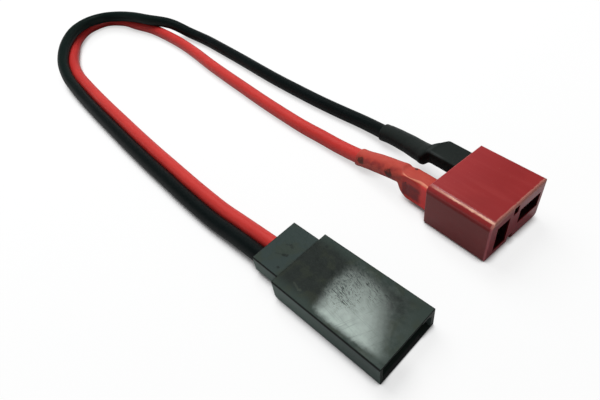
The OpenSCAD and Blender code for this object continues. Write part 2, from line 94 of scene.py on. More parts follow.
NEAR_WALL = 1.6
FAR_WALL = 0.95
WEB = 2.3
SLOT_SHORT = 2.7
SLOT_LONG = 4.6
UPRIGHT_SLOT_DROP = 0.3
FLAT_SLOT_LIFT = 0.4
POCKET_W = 1.1
POCKET_H = 1.4
POCKET_ROOF = 0.35
BLADE_T = 0.8
TAB_L = 5.4
TAB_W = 3.4
TAB_OFFSET = 0.4
PLUG_L = 10.4
PLUG_H = 7.2
PLUG_W = NEAR_WALL + SLOT_SHORT + WEB + SLOT_LONG + FAR_WALL
PLUG_PLACE = Vector((4.1, 23.6, 0))
PLUG_TURN = math.radians(-5.2)
TO_PLUG = -math.degrees(PLUG_TURN)

SLEEVE_WALL = 0.2
SLEEVE_GAP = 0.1

# Places worked out from them. A slot's or pocket's middle is given across the plug and up.

WIRE_EXIT_Z = BODY_H / 2
INSULATION_X = NECK_REAR_X + WIRE_SINK
PLUG_FACE_X = PLUG_L / 2
UPRIGHT_SLOT = (-PLUG_W / 2 + NEAR_WALL + SLOT_SHORT / 2, PLUG_H / 2 - UPRIGHT_SLOT_DROP)
FLAT_SLOT = (PLUG_W / 2 - FAR_WALL - SLOT_LONG / 2, PLUG_H / 2 + FLAT_SLOT_LIFT)
POCKET = (-PLUG_W / 2 + NEAR_WALL + SLOT_SHORT + WEB / 2, PLUG_H - POCKET_ROOF - POCKET_H / 2)
TAB_END_X = -PLUG_FACE_X - TAB_L
WIRE_END_X = TAB_END_X - BARE_L
BLADE_TOP = SLOT_SHORT / 2
STRAND_Z = BLADE_TOP - BLADE_T - STRAND_D / 2
SOLDER_LOW = STRAND_Z - STRAND_D / 2 - SOLDER_T
PLUG_AHEAD = (math.cos(PLUG_TURN), math.sin(PLUG_TURN), 0)
PLUG_ASIDE = (-math.sin(PLUG_TURN), math.cos(PLUG_TURN), 0)
PLUG_NEAR = (math.sin(PLUG_TURN), -math.cos(PLUG_TURN), 0)


def from_plug(x, y, z):
    """A point of the plug's own frame, in the part's frame."""
    return PLUG_PLACE + Vector((
        x * math.cos(PLUG_TURN) - y * math.sin(PLUG_TURN),
        x * math.sin(PLUG_TURN) + y * math.cos(PLUG_TURN),
        z,
    ))


def in_plug(point):
    """A point of the part's frame, in the plug's own frame."""
    off = point - PLUG_PLACE
    return Vector((
        off.x * math.cos(PLUG_TURN) + off.y * math.sin(PLUG_TURN),
        -off.x * math.sin(PLUG_TURN) + off.y * math.cos(PLUG_TURN),
        off.z,
    ))


# A slot's frame has x forward, then across its tab, then towards its blade's wall

def from_upright(x, across, deep):
    return from_plug(x, UPRIGHT_SLOT[0] - deep, UPRIGHT_SLOT[1] + across)


def from_flat(x, across, deep):
    return from_plug(x, FLAT_SLOT[0] + across, FLAT_SLOT[1] + deep)


def in_upright(point):
    x, y, z = in_plug(point)
    return Vector((x, z - UPRIGHT_SLOT[1], UPRIGHT_SLOT[0] - y))


def in_flat(point):
    x, y, z = in_plug(point)
    return Vector((x, y - FLAT_SLOT[0], z - FLAT_SLOT[1]))


# Routes of the wires

# The pair's middle line: x, y, how far the pair is turned about it in degrees, and its lift
PAIR = [
    (-17, -1.3, 0, 0.5), (-21, -1.3, 0, 0.2), (-26, -1.4, 0, 0), (-33, -1.2, 0, 0),
    (-40, -0.8, 0, 0), (-47, -0.4, 0, 0), (-54, 0.1, 0, 0), (-61, 0.7, 0, 0),
    (-68, 1.3, 0, 0), (-75, 2, 0, 0), (-81, 2.7, 5, 0), (-87, 3.6, 15, 0),
    (-93.5, 5.6, 34, 0), (-99.5, 9, 61, 0), (-104.5, 13.3, 96, 0), (-107.3, 18.2, 122, 0),
    (-106.7, 22.6, 132, 0), (-102.7, 25.4, 124, 0), (-97.2, 26.8, 100, 0), (-91.9, 28, 90, 0),
]
RED_ALONE = [
    (-85.5, 28.2, 1.2), (-78, 27.9, 1.2), (-71, 27.1, 1.2), (-64, 26, 1.2),
    (-57, 25.1, 1.2), (-50, 24.3, 1.2), (-43, 23.5, 1.2), (-36.5, 22.9, 1.2),
    (-31, 22.5, 1.2), (-26, 22.4, 1.2), (-21.5, 22.2, 1.3), (-16.6, 21.9, 1.9),
    (-12.2, 21.7, 2.9),
]
BLACK_ALONE = [
    (-86, 30.6, 3), (-80, 32.1, 1.5), (-73.5, 32.4, 1.2), (-67, 32, 1.2),
    (-60, 31.5, 1.2), (-53, 30.9, 1.2), (-46.5, 30.4, 1.2), (-40, 30.1, 1.2),
    (-34, 29.9, 1.2), (-28.5, 29.9, 1.2), (-23, 29.9, 1.3), (-18, 29.3, 1.8),
    (-12.4, 28.1, 2.7),
]
PAIR_PRESS = 0.06  # each soft wire lies this much closer to the pair's middle line than in the source
ROUTE_SPACING = 0.55


def heading(points, i):
    """Direction of a line of points at one of them."""
    return (points[min(i + 1, len(points) - 1)] - points[max(i - 1, 0)]).normalized()


def pair_wire(side):
    """One wire of the pair, side 1 for the red one, turned about the pair's middle line."""
    half = (WIRE_D + PAIR_GAP) / 2 - PAIR_PRESS
    line = [Vector((x, y, 0)) for x, y, _, _ in PAIR]
    points = []
    for i, (x, y, turn, lift) in enumerate(PAIR):
        across = heading(line, i).cross(Vector(UP))
        angle = math.radians(turn)
        rise = WIRE_D / 2 + half * math.sin(angle) + lift
        shift = (across * math.cos(angle) - Vector((0, 0, math.sin(angle)))) * side * half
        points.append(Vector((x, y, rise)) + shift)
    return points


def curve(start, end, leave, arrive, t):
    """Value at share t of a smooth curve between two values, with its slope at both of them."""
    return (
        start * (2 * t ** 3 - 3 * t * t + 1) + leave * (t ** 3 - 2 * t * t + t)
        + end * (3 * t * t - 2 * t ** 3) + arrive * (t ** 3 - t * t)
    )


def smooth_route(points):
    """Points close together on one smooth curve through the route's points. The slopes allow for
    the uneven spacing of the points."""
    ends = [points[0] * 2 - points[1]] + points + [points[-1] * 2 - points[-2]]
    route = []
    for i in range(1, len(ends) - 2):
        a, b, c, d = ends[i - 1:i + 3]
        ab, bc, cd = [math.sqrt(max((q - p).length, 1e-6)) for p, q in ((a, b), (b, c), (c, d))]
        leave = ((b - a) / ab - (c - a) / (ab + bc) + (c - b) / bc) * bc
        arrive = ((c - b) / bc - (d - b) / (bc + cd) + (d - c) / cd) * bc
        steps = max(2, round((c - b).length / ROUTE_SPACING))
        route += [curve(b, c, leave, arrive, k / steps) for k in range(steps)]
    return route + [points[-1]]


def route_length(points):
    return sum((b - a).length for a, b in zip(points, points[1:]))


red_route = smooth_route(
    [Vector((INSULATION_X, 0, WIRE_EXIT_Z))] + pair_wire(1)
    + [Vector(point) for point in RED_ALONE]
    + [from_upright(WIRE_END_X, UPRIGHT_WIRE_SHIFT, STRAND_Z)]
)
black_route = smooth_route(
    [Vector((INSULATION_X, -PIN_PITCH, WIRE_EXIT_Z))] + pair_wire(-1)
    + [Vector(point) for point in BLACK_ALONE]
    + [from_flat(WIRE_END_X, TAB_OFFSET + FLAT_WIRE_SHIFT, STRAND_Z)]
)


# Meshes

def new_piece(name, verts, faces, smooth=True):
    mesh = bpy.data.meshes.new(name)
    mesh.from_pydata([v * MM for v in verts], [], faces)
    mesh.validate()
    bm = bmesh.new()
    bm.from_mesh(mesh)
    bmesh.ops.recalc_face_normals(bm, faces=bm.faces)
    bm.to_mesh(mesh)
    bm.free()
    mesh.polygons.foreach_set("use_smooth", [smooth] * len(mesh.polygons))
    piece = bpy.data.objects.new(name, mesh)
    bpy.context.scene.collection.objects.link(piece)
    return piece


def ring_faces(rings, sides):
    """Faces of a tube between rings of points, which is open at both ends."""
    faces = []
    for i in range(rings - 1):
        for k in range(sides):
            here, beside = i * sides + k, i * sides + (k + 1) % sides
            faces.append((here, beside, beside + sides, here + sides))
    return faces


# Wires

WIRE_PROUD = 0.045  # the soft insulation stands up to this much proud of its nominal size
WIRE_SIDES = 24
# The insulation's faint ripple: how far it reaches, and how tight it is along the wire and round it
RIPPLE = 0.012
RIPPLE_ALONG = 0.22
RIPPLE_ROUND = 3


def round_wire(name, route):
    """Insulation of the wire's diameter along its route, with its faint ripple."""
    verts = []
    for i, point in enumerate(route):
        ahead = heading(route, i)
        level = Vector(UP).cross(ahead).normalized()
        top = ahead.cross(level)
        for k in range(WIRE_SIDES):
            angle = 2 * math.pi * k / WIRE_SIDES
            out = level * math.cos(angle) + top * math.sin(angle)
            spot = point * RIPPLE_ALONG + Vector((0, 0, RIPPLE_ROUND * math.cos(angle)))
            radius = WIRE_D / 2 + WIRE_PROUD - RIPPLE + noise.noise(spot) * RIPPLE
            verts.append(point + out * radius)
    sides = tuple(range(WIRE_SIDES))
    caps = [sides[::-1], tuple(len(verts) - WIRE_SIDES + k for k in sides)]
    return new_piece(name, verts, ring_faces(len(route), WIRE_SIDES) + caps)


def lay_wire(name, node, route):
    wire = round_wire(name, route)
    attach(wire, "root")
    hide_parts(node)
    route_length(route) * MM
    [tuple(point * MM) for point in route]
    return wire


red_wire = lay_wire("red_wire", "wire_positive", red_route)
black_wire = lay_wire("black_wire", "wire_negative", black_route)


# Shrunk sleeves, in their slots' frames

RED_SLEEVE_L = 9.1
BLACK_SLEEVE_L = 10.9
ROUND_SHARES = (0, 0.14, 0.5, 0.9, 1)  # places on the wire's end, as shares of the sleeve's length
SHOULDER_X = TAB_END_X - 0.4
SHOULDER_R = 0.7
SHOULDER_WIRE_R = 1.2
SOLDER_SIDE_R = 0.8
LIP_BEND = 0.07
CORNER_STEPS = 11
SLEEVE_RINGS = 64

Section = namedtuple("Section", "x across deep half_across half_deep seen_r tab_r wire_r")


def back_from_end(route, reach):
    """Point at a distance back from the end of a route, along it."""
    backwards = route[::-1]
    for near, far in zip(backwards, backwards[1:]):
        stretch = (far - near).length
        if stretch >= reach:
            return near.lerp(far, reach / stretch)
        reach -= stretch
    return route[0]


def sleeve_sections(spots, middle, slack, edge_slack, worn_edge, narrowing, rounds):
    """Rounded rectangles from the plug to the wire, each with its place, its middle, half its width
    and depth, and its corner radius at the seen edge, on the tab's side and on the wire's.
    worn_edge gives the seen edge's radius at places of the flat part. narrowing is where that part
    starts to narrow, and its shift and width behind the tab. rounds gives how far the round part
    stands proud at each spot, and how far it lies off the wire's middle, across and deep."""
    gap = SLEEVE_GAP + SLEEVE_WALL
    low = SOLDER_LOW - gap - slack
    high = BLADE_TOP + gap
    deep, half_deep = (low + high) / 2, (high - low) / 2
    tab_half = TAB_W / 2 + gap + edge_slack
    wire_half = WIRE_D / 2 + gap
    narrow_x, shift, width = narrowing
    sections = [
        Section(x, middle, deep, tab_half, half_deep, seen_r, gap, SOLDER_SIDE_R + slack / 2)
        for x, seen_r in ((-PLUG_FACE_X, gap), *worn_edge, (narrow_x, gap))
    ]
    sections.append(Section(
        SHOULDER_X, middle + shift * (spots[0].y - middle), max(deep, high - wire_half),
        tab_half * width, wire_half, SHOULDER_R, SHOULDER_R, SHOULDER_WIRE_R,
    ))
    for spot, (proud, off_across, off_deep) in zip(spots, rounds):
        sizes = [wire_half + proud] * 5
        sections.append(Section(spot.x, spot.y + off_across, spot.z + off_deep, *sizes))
    return sections


def glide(values, places, x):
    """Value at x of a smooth curve, without overshoot, through values at falling places."""
    i = 0
    while i < len(places) - 2 and x < places[i + 1]:
        i += 1
    slopes = []
    for k in (i, i + 1):
        before, after = [
            (values[b] - values[a]) / (places[b] - places[a]) if 0 <= a and b < len(values) else 0
            for a, b in ((k - 1, k), (k, k + 1))
        ]
        slopes.append(2 * before * after / (before + after) if before * after > 0 else 0)
    span = places[i + 1] - places[i]
    share = min(max((x - places[i]) / span, 0), 1)
    return curve(values[i], values[i + 1], slopes[0] * span, slopes[1] * span, share)


def section_ring(section, inset):
    """Points of one rounded rectangle and the way each faces, across and deep."""
    ring = []
    corners = (
        (1, 1, section.seen_r), (-1, 1, section.tab_r), (-1, -1, section.wire_r), (1, -1, section.wire_r),
    )
    for corner, (side_across, side_deep, outer_radius) in enumerate(corners):
        radius = outer_radius - inset
        corner_across = section.across + side_across * (section.half_across - inset - radius)
        corner_deep = section.deep + side_deep * (section.half_deep - inset - radius)
        for k in range(CORNER_STEPS):
            angle = math.radians(90 * corner + 90 * (k + 0.5) / CORNER_STEPS)
            out_across, out_deep = math.cos(angle), math.sin(angle)
            ring.append((
                corner_across + radius * out_across, corner_deep + radius * out_deep, out_across, out_deep,
            ))
    return ring


def soft_sleeve(name, to_part, sections, creases):
    """Shell of a shrunk sleeve. creases gives how far a point stands out from its plain section."""
    places = [section.x for section in sections]
    columns = list(zip(*sections))[1:]
    start, lip = places[0], places[-1]
    verts = []

    def add_ring(x, inset):
        section = Section(x, *[glide(column, places, x) for column in columns])
        for across, deep, out_across, out_deep in section_ring(section, inset):
            out = creases((x, across, deep), out_deep)
            verts.append(to_part(x, across + out * out_across, deep + out * out_deep))

    for i in range(SLEEVE_RINGS + 1):
        add_ring(start + (lip - start) * i / SLEEVE_RINGS, 0)
    add_ring(lip - LIP_BEND, SLEEVE_WALL / 2)
    for i in range(SLEEVE_RINGS, -1, -2):
        add_ring(start + (lip - start) * i / SLEEVE_RINGS, SLEEVE_WALL)
    sides = 4 * CORNER_STEPS
    last = len(verts) - sides
    faces = ring_faces(len(verts) // sides, sides)
    faces += [(last + k, last + (k + 1) % sides, (k + 1) % sides, k) for k in range(sides)]
    return new_piece(name, verts, faces)


def step(x, start, end):
    """0 before start, 1 past end and smooth between them; start may be above end."""
    t = max(0.0, min(1.0, (x - start) / (end - start)))
    return t * t * (3 - 2 * t)


def pulls(place, tightness, shift, height):
    """Smooth unevenness, by how tight it is along, across and deep, its shift and its height."""
    return noise.noise(Vector([p * t + s for p, t, s in zip(place, tightness, shift)])) * height


def red_creases(place, out_deep):
    """Long soft pulls, and a sunken field on the near face."""
    x = place[0]
    uneven = pulls(place, (0.35, 0.9, 0.9), (0, 0, 7), 0.05)
    uneven += pulls(place, (1.6, 2.2, 2.2), (0, 0, 0), 0.015)
    on_tab = step(x, TAB_END_X, TAB_END_X + 0.7) * step(x, -PLUG_FACE_X, -PLUG_FACE_X - 2.4)
    return uneven - 0.14 * on_tab * max(0.0, out_deep) ** 4


def black_creases(place, out_deep):
    """Long soft pulls, and a drop where the sleeve leaves the end of the tab."""
    x = place[0]
    uneven = pulls(place, (0.3, 0.8, 0.8), (0, 3, 0), 0.05)
    uneven += pulls(place, (1.5, 2, 2), (0, 0, 9), 0.012)
    off_tab = step(x, TAB_END_X + 0.3, TAB_END_X - 0.3) * step(x, TAB_END_X - 3.4, TAB_END_X - 1.4)
    return uneven - 0.05 * off_tab * max(0.0, out_deep)


def dress_sleeve(name, node, to_part, to_slot, route, length, creases, **shape):
    """Shrunk sleeve over a tab and the end of its wire, with the given name."""
    spots = [to_slot(back_from_end(route, share * length)) for share in ROUND_SHARES]
    sleeve = soft_sleeve(name, to_part, sleeve_sections(spots, **shape), creases)
    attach(sleeve, "root")
    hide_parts(node)
    return sleeve


red_sleeve = dress_sleeve(
    "red_sleeve", "sleeve_positive", from_upright, in_upright, red_route, RED_SLEEVE_L, red_creases,
    middle=-TAB_OFFSET, slack=0.9, edge_slack=0.25,
    worn_edge=((-6.2, 0.7), (-7.6, 0.95), (-8.9, 0.5)),
    narrowing=(-9.7, 0.35, 0.86),
    rounds=((0.15, 0, 0), (0.12, 0, 0), (0.05, 0, 0), (0, 0, 0), (0.03, 0, 0)),
)
black_sleeve = dress_sleeve(
    "black_sleeve", "sleeve_negative", from_flat, in_flat, black_route, BLACK_SLEEVE_L, black_creases,
    middle=TAB_OFFSET + 0.12, slack=0.15, edge_slack=0.12,
    worn_edge=(),
    narrowing=(-10.0, 0.72, 0.7),
    rounds=(
        (0.24, -0.1, -0.02), (0.14, -0.02, -0.02), (0.05, 0.22, 0.15), (0.02, 0.12, 0.08),
        (0.03, 0.04, 0.02),
    ),
)


# Materials

class Value:
    """What a node's socket gives. Sums, differences and products of it add Math nodes."""

    def __init__(self, finish, socket):
        self.finish = finish
        self.socket = socket

    def math(self, operation, *others):
        return self.finish.add("ShaderNodeMath", {"operation": operation}, dict(enumerate(others)))

    def __add__(self, other):
        return self.math("ADD", self, other)

    def __radd__(self, other):
        return self.math("ADD", other, self)

    def __sub__(self, other):
        return self.math("SUBTRACT", self, other)

    def __rsub__(self, other):
        return self.math("SUBTRACT", other, self)

    def __mul__(self, other):
        return self.math("MULTIPLY", self, other)

    def __rmul__(self, other):
        return self.math("MULTIPLY", other, self)

    def __abs__(self):
        return self.math("ABSOLUTE", self)

    def least(self, other):
        return self.math("MINIMUM", self, other)

    def most(self, other):
        return self.math("MAXIMUM", self, other)

    def rise(self, start, end):
        """0 below start, 1 above end and smooth between them; start may be above end."""
        return self.finish.add(
            "ShaderNodeMapRange", {"interpolation_type": "SMOOTHSTEP", "clamp": True},
            {"Value": self, "From Min": start, "From Max": end, "To Min": 0.0, "To Max": 1.0},
        )


class Finish:
    """The nodes of one material, or of the world. Every node is made by add()."""

    def __init__(self, owner):
        self.owner = owner
        owner.use_nodes = True
        self.tree = owner.node_tree
        self.tree.nodes.clear()

    def add(self, kind, settings, values, output=0):
        """Add a node with its settings and its sockets' values or links, and give one output."""
        node = self.tree.nodes.new(kind)
        for key, setting in settings.items():
            setattr(node, key, setting)
        for key, value in values.items():
            if isinstance(value, Value):
                self.tree.links.new(value.socket, node.inputs[key])
            else:
                node.inputs[key].default_value = value
        return Value(self, node.outputs[output]) if node.outputs else None

    def vector(self, operation, values, output=0):
        return self.add("ShaderNodeVectorMath", {"operation": operation}, values, output)

    def place(self):
        """Position on the part in millimetres."""
        metres = self.add("ShaderNodeTexCoord", {}, {}, "Object")
        return self.vector("SCALE", {0: metres, "Scale": 1 / MM})

    def along(self, where, axis, origin=(0, 0, 0)):
        """Distance along an axis from a place."""
        reach = self.vector("DOT_PRODUCT", {0: where, 1: axis}, "Value")
        return reach - Vector(origin).dot(Vector(axis))

    def distance(self, where, spot):
        return self.vector("DISTANCE", {0: where, 1: spot}, "Value")

    def facing(self, axis):
        """Cosine between the surface's own normal and an axis."""
        normal = self.add("ShaderNodeNewGeometry", {}, {}, "Normal")
        return self.vector("DOT_PRODUCT", {0: normal, 1: axis}, "Value")

    def streak(self, where, start, end, width):
        """1 on the straight line between two places on a level face, 0 past its ragged width."""
        ahead = (Vector(end) - Vector(start)).normalized()
        length = (Vector(end) - Vector(start)).length
        on_line = self.along(where, ahead, start).most(0).least(length)
        nearest = self.vector("SCALE", {0: ahead, "Scale": on_line})
        offset = self.vector("SUBTRACT", {0: where, 1: start})
        gap = self.vector("SUBTRACT", {0: offset, 1: nearest})
        reach = self.vector("LENGTH", {0: gap}, "Value")
        jagged = self.cloud(where, 5.0, 3.0, 0.6) - 0.5
        return (reach + jagged * width * 1.6).rise(width, width * 0.3)

    def cloud(self, where, scale, detail=3.0, rough=0.5):
        """Noise round 0.5, finer with a larger scale."""
        return self.add(
            "ShaderNodeTexNoise", {"noise_dimensions": "3D"},
            {"Vector": where, "Scale": scale, "Detail": detail, "Roughness": rough},
        )

    def strokes(self, where, turn, scale, detail=1.0, rough=0.5):
        """Noise turned about Z by some degrees, and drawn out along the axes with a small scale."""
        turned = self.add(
            "ShaderNodeVectorRotate", {"rotation_type": "Z_AXIS"},
            {"Vector": where, "Angle": math.radians(turn)},
        )
        return self.cloud(self.vector("MULTIPLY", {0: turned, 1: scale}), 1.0, detail, rough)

    def specks(self, where, scale, outside, inside):
        """Scattered dots, 0 past one distance from the middle of each and 1 within another."""
        spots = self.add("ShaderNodeTexVoronoi", {"feature": "F1"}, {"Vector": where, "Scale": scale})
        return spots.rise(outside, inside)

    def blend(self, share, low, high):
        """A mixed colour, low at share 0 and high at share 1."""
        # A Mix node has several sockets of each name, so the colour ones are given by number
        return self.add("ShaderNodeMix", {"data_type": "RGBA"}, {0: share, 6: low, 7: high}, output=2)

    def relief(self, height, strength, distance):
        """Bumps, with the distance that a height of 1 stands for in millimetres."""
        return self.add(
            "ShaderNodeBump", {}, {"Height": height, "Strength": strength, "Distance": distance * MM}
        )

    def surface(self, **sockets):
        values = {key.replace("_", " "): value for key, value in sockets.items()}
        shader = self.add("ShaderNodeBsdfPrincipled", {}, values)
        self.add("ShaderNodeOutputMaterial", {}, {"Surface": shader})
        return self.owner


def tint(r, g, b):
    """A colour written as in a picture editor, 0 to 255, turned into light."""
    def level(c):
        c = c / 255
        return c / 12.92 if c <= 0.04045 else ((c + 0.055) / 1.055) ** 2.4
    return (level(r), level(g), level(b), 1.0)


# Marks on the black housing: start, end, width and strength of each scuff, and the level it is on
DARK_SCUFF = tint(18, 23, 22)
PALE_SCUFF = tint(104, 112, 96)
NECK_LEVEL = 3.35
NECK_SCUFFS = [
    ((-12.1, -1.45), (-10.9, -1.0), 0.14, 0.3), ((-11.0, -1.0), (-10.5, -0.8), 0.34, 0.7),
    ((-12.0, 0.5), (-11.4, 0.8), 0.2, 0.35), ((-11.3, 0.8), (-10.9, 0.65), 0.3, 0.5),
    ((-10.1, -2.9), (-10.0, -2.9), 0.28, 0.8),
]
TOP_SCUFFS = [
    ((-7.3, 3.7), (-7.2, 3.6), 0.3, 0.6), ((4.5, 2.2), (4.9, 1.8), 0.6, 0.45),
    ((5.8, 2.1), (6.4, 2.3), 0.5, 0.35),
]
PALE_SCUFFS = [((-6.5, -3.3), (-5.6, -3.6), 0.2, 0.12), ((-5.3, -3.7), (-5.1, -3.6), 0.26, 0.14)]


def polish_and_sheen_field(paint, where, x, y, grainy):
    """How far handling has polished the black top, which also sets where a highlight is painted into its
    colour, with a faint haze past the field's far side.
    """
    patchy = paint.cloud(where, 1.1, 3.0, 0.55)
    ragged = (patchy - 0.5) * 1.6
    rear = (x + (-0.8 - y).most(0) * -0.3 + (ragged + grainy) * 0.4).rise(-3.7, -1.7)
    front = (x + y * 0.5 + ragged + grainy).rise(7.6, 2.6)
    far = (y + ragged * 0.6 + grainy * 0.7 + x.most(0) * 0.1).rise(4.6, 2.3)
    close = (y - x.most(0) * 0.04 + grainy * 0.35 + ragged * 0.25).rise(-5.0, -3.9)
    polish_and_sheen = rear * front * far * close * (0.72 - y * 0.085) * x.rise(-7.6, 1.6)
    haze = rear * (x + y * 0.5 + ragged).rise(10.5, 6.0) * (y + grainy).rise(5.0, 3.8)
    return (polish_and_sheen * (0.65 + patchy * 0.8)).most(haze * patchy.rise(0.3, 0.7) * 0.1)


def field_marks(paint, where, x, y, grainy):
    """Short dark ticks across the housing, crowded at the field's rear, and a few long scratches."""
    ticks = paint.strokes(where, 12, (1.25, 8.8, 1.0)).rise(0.575, 0.64)
    strays = paint.strokes(where, 34, (1.2, 9.0, 1.0)).rise(0.6, 0.68)
    dots = paint.cloud(where, 5.5, 1.0, 0.5).rise(0.63, 0.7)
    crowd = paint.cloud(where, 0.9, 2.0).rise(0.3, 0.6).most(x.rise(0.9, -1.2))
    inside = (x - y * 0.6 + grainy).rise(3.8, 1.4) * (y + grainy).rise(-3.6, -1.2)
    ticks = ticks.most(strays * 0.7).most(dots) * crowd * inside
    lines = paint.strokes(where, -66, (0.3, 8.0, 1.0), rough=0.4).rise(0.61, 0.67)
    lines = lines * paint.cloud(where, 0.6, 1.0).rise(0.45, 0.58)
    long_lines = paint.strokes(where, 8, (0.2, 9.0, 1.0), rough=0.4).rise(0.64, 0.69)
    return (ticks + lines * 0.3 + long_lines * 0.2).least(1.0)


def scuffed_black():
    """Moulded black nylon with a polished field on top, dark ticks in it and a few scuffs, and painted
    light: a highlight in the field, a sheen at the top's edges, a paler near side for the floor's
    reflection and a dark reflection along the top edges.
    """
    paint = Finish(bpy.data.materials.new("scuffed_black"))
    where = paint.place()
    x, y, z = [paint.along(where, axis) for axis in (AHEAD, ASIDE, UP)]
    broad = paint.cloud(where, 0.35, 3.0)
    fine = paint.cloud(where, 6.0, 4.0, 0.6)
    grainy = (paint.cloud(where, 2.6, 3.0, 0.6) - 0.5) * 1.4
    up = paint.facing(UP)
    top = up.rise(0.9, 0.99)
    bevel = up.rise(0.2, 0.5) * up.rise(0.99, 0.8)
    near = paint.facing((0, -1, 0)).rise(0.7, 0.95)
    neck = x.rise(NECK_FRONT_X + 0.1, NECK_FRONT_X - 0.3)
    polish_and_sheen = polish_and_sheen_field(paint, where, x, y, grainy) * top
    marks = field_marks(paint, where, x, y, grainy)

    colour = paint.blend(broad, tint(18, 23, 20), tint(30, 37, 34))
    # painted sheen: the top is lighter towards its far, near and front edges
    rim = (abs(y) + broad).rise(3.6, 5.4).most((x + broad * 2).rise(5.5, 9.5))
    colour = paint.blend(rim * top * 0.5, colour, tint(58, 73, 67))
    colour = paint.blend(neck * top * 0.7, colour, tint(52, 66, 64))
    # painted reflection of the floor: the near side is lighter, most towards the rear
    side = paint.blend(x.rise(6.0, -6.0), tint(84, 99, 95), tint(104, 122, 116))
    colour = paint.blend(near * 0.78, colour, side)
    colour = paint.blend((fine - 0.45) * 0.5, colour, tint(70, 80, 74))
    # painted dark reflection along the rounded top edges and the near side's top strip
    near_edge = near * (z + neck * 0.25).rise(3.22, 3.38)
    colour = paint.blend(bevel.most(near_edge) * 0.9, colour, tint(6, 8, 8))
    # painted highlight: the colour is lightened over the polished field
    colour = paint.blend(polish_and_sheen * 0.5, colour, tint(98, 124, 112))
    olive = paint.cloud(where, 0.5, 2.0).rise(0.45, 0.65) * polish_and_sheen.rise(0.3, 0.05) * top
    colour = paint.blend(olive * 0.35, colour, tint(50, 56, 40))
    colour = paint.blend(marks * polish_and_sheen.rise(0.02, 0.25) * 0.75, colour, tint(16, 20, 19))
    for scuffs, level, scuff_tint in (
        (NECK_SCUFFS, NECK_LEVEL, DARK_SCUFF), (TOP_SCUFFS, BODY_H, DARK_SCUFF),
        (PALE_SCUFFS, BODY_H, PALE_SCUFF),
    ):
        for start, end, width, share in scuffs:
            scuff = paint.streak(where, (*start, level), (*end, level), width)
            colour = paint.blend(scuff * share, colour, scuff_tint)
    return paint.surface(
        Base_Color=colour, Roughness=0.46 + fine * 0.12 + marks * 0.1, Specular_IOR_Level=0.3,
        Coat_Weight=(polish_and_sheen * (1 - marks * 0.85)).least(1.0), Coat_Roughness=0.1, Coat_IOR=1.5,
        Normal=paint.relief(fine * 0.2 - marks * 0.5 + broad * 0.8, 0.25, 0.03),
    )


def plug_axes(paint, where):
    """Distances along the plug's own axes from the middle of its underside."""
    return [paint.along(where, axis, PLUG_PLACE) for axis in (PLUG_AHEAD, PLUG_ASIDE, UP)]


def slot_depths(x, y, z):
    """1 inside the two slots and the pocket of the plug, 0 on its outside."""
    openings = (
        (UPRIGHT_SLOT, SLOT_SHORT, SLOT_LONG), (FLAT_SLOT, SLOT_LONG, SLOT_SHORT),
        (POCKET, POCKET_W, POCKET_H),
    )
    rim, fade = 0.05, 0.03
    inside = 0
    for (mid_y, mid_z), wide, high in openings:
        half_y, half_z = wide / 2 + rim, high / 2 + rim
        across = abs(y - mid_y).rise(half_y + fade, half_y)
        inside = inside + across * abs(z - mid_z).rise(half_z + fade, half_z)
    return inside.least(1.0) * x.rise(PLUG_FACE_X - 0.01, PLUG_FACE_X - 0.2)


